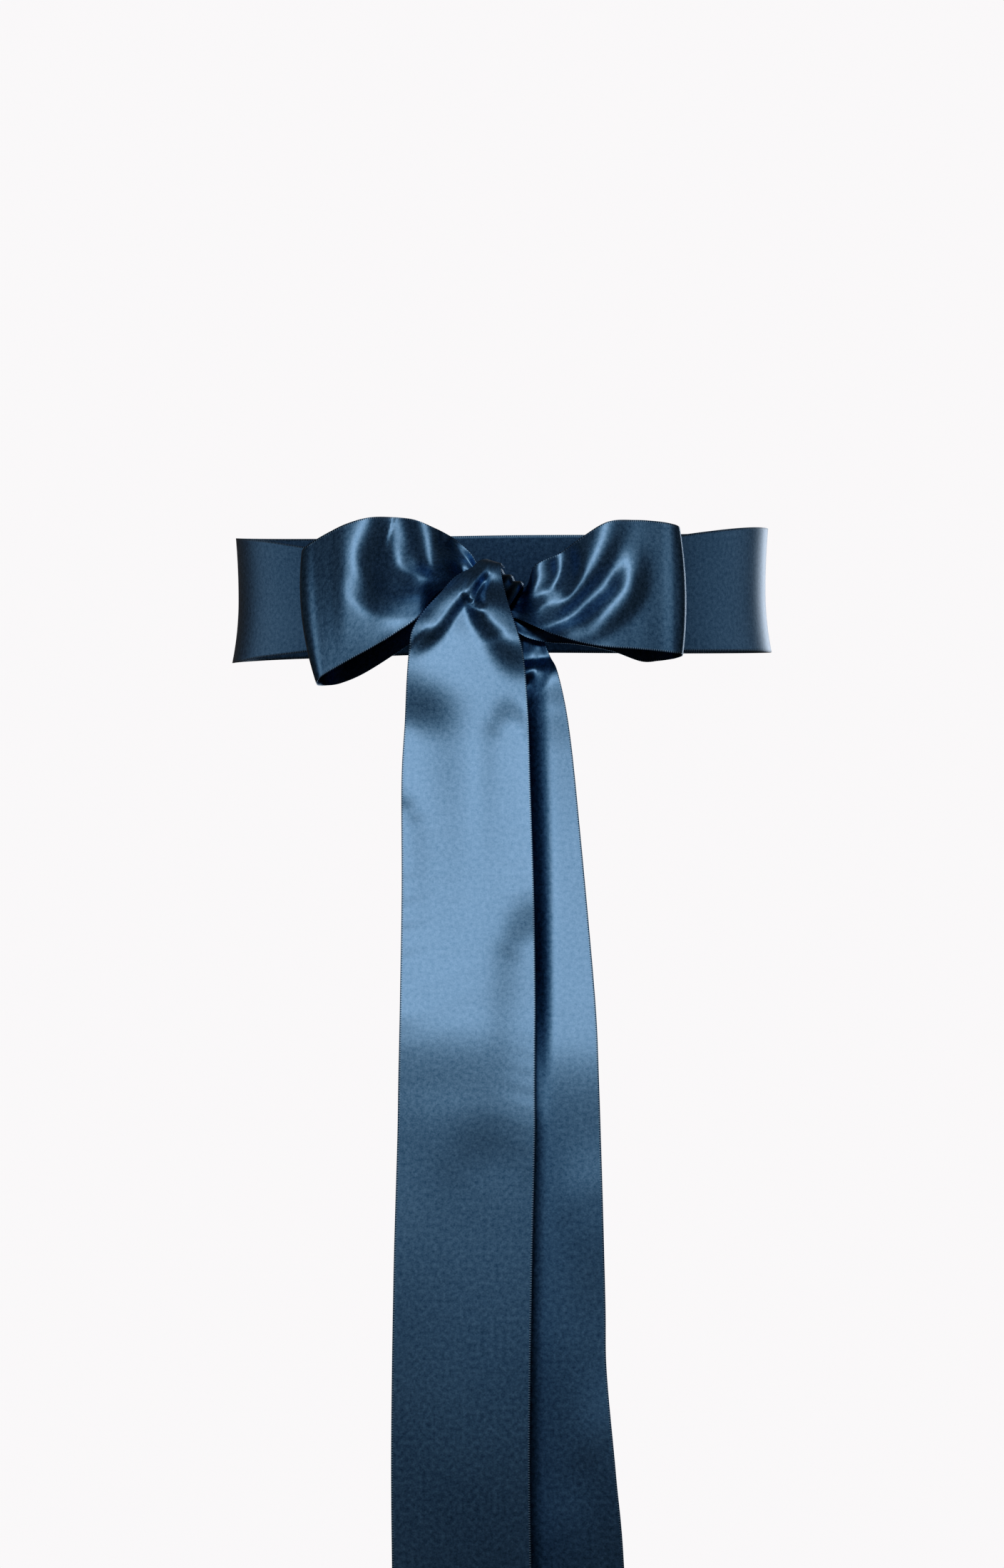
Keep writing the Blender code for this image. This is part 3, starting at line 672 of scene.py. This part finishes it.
def pale_floor():
    """A pale floor with a light of its own. Its glow and its image don't reach the cloth."""
    turns = np.linspace(0, 2 * math.pi, FLOOR_SIDES, endpoint=False)
    rim = [
        (FLOOR_RADIUS * math.cos(turn), FLOOR_RADIUS * math.sin(turn), FLOOR_HEIGHT)
        for turn in turns
    ]
    mesh = bpy.data.meshes.new("floor")
    mesh.from_pydata(rim, [], [list(range(FLOOR_SIDES))])
    floor = bpy.data.objects.new("floor", mesh)
    pale = bpy.data.materials.new("pale_floor")
    pale.use_nodes = True
    shader = pale.node_tree.nodes["Principled BSDF"]
    shader.inputs["Base Color"].default_value = FLOOR_COLOUR
    shader.inputs["Roughness"].default_value = FLOOR_ROUGHNESS
    mesh.materials.append(pale)
    bpy.context.scene.collection.objects.link(floor)
    floor.visible_diffuse = False
    floor.visible_glossy = False
    softbox(
        "floor_light", place=(0, 0, 3.0), target=(0, 0, FLOOR_HEIGHT), size=(3.0, 3.0),
        watts=190, falls_on=[floor],
    )


def photo_camera():
    """The photo's camera. The picture is taller than it is wide, so the sensor is its height."""
    scene = bpy.context.scene
    camera = bpy.data.cameras.new("photo_camera")
    camera.sensor_width = SENSOR_MM
    camera.lens = FOCAL_PX / PHOTO_HEIGHT_PX * SENSOR_MM
    camera.clip_start = CAMERA_CLIP_START
    obj = bpy.data.objects.new("photo_camera", camera)
    obj.location = (0, -CAMERA_DISTANCE, CAMERA_HEIGHT)
    obj.rotation_euler = (math.pi / 2, 0, 0)
    scene.collection.objects.link(obj)
    scene.camera = obj


def contrast():
    """A print's contrast: the deepest tones are drawn down, and the light ones stay."""
    view = bpy.context.scene.view_settings
    view.view_transform = "Standard"
    view.use_curve_mapping = True
    view.curve_mapping.initialize()
    for curve, toe in zip(view.curve_mapping.curves, (RED_TOE, GREEN_TOE, BLUE_TOE)):
        for light in TONE_STEPS:
            share = light**toe.steepness / (light**toe.steepness + toe.ends**toe.steepness)
            curve.points.new(light, light * share)
    view.curve_mapping.update()


def main():
    satin = satin_material()
    band = cloth("waist_band_cloth", band_grid(WAIST_BAND, BAND_CELLS), satin, "waist_band")
    knot = cloth("bow_knot_cloth", knot_grid(KNOT_CELLS), satin, "bow_knot", closed=True)
    made = {}
    for name, sections, folds, cells, spacing in (
        ("left_loop", LEFT_LOOP, LEFT_LOOP_FOLDS, LOOP_CELLS, evenly),
        ("right_loop", RIGHT_LOOP, RIGHT_LOOP_FOLDS, LOOP_CELLS, evenly),
        ("front_tail", FRONT_TAIL, FRONT_TAIL_FOLDS, TAIL_CELLS, closer_at_start),
        ("back_tail", BACK_TAIL, BACK_TAIL_FOLDS, TAIL_CELLS, closer_at_start),
    ):
        grid = ribbon_grid(sections, folds, cells, spacing)
        made[name] = cloth(name + "_cloth", grid, satin, name)
    loops = [made["left_loop"], made["right_loop"]]
    tails = [made["front_tail"], made["back_tail"]]
    room()
    cloth_lights(band, knot, loops, tails)
    pale_floor()
    photo_camera()
    contrast()


main()
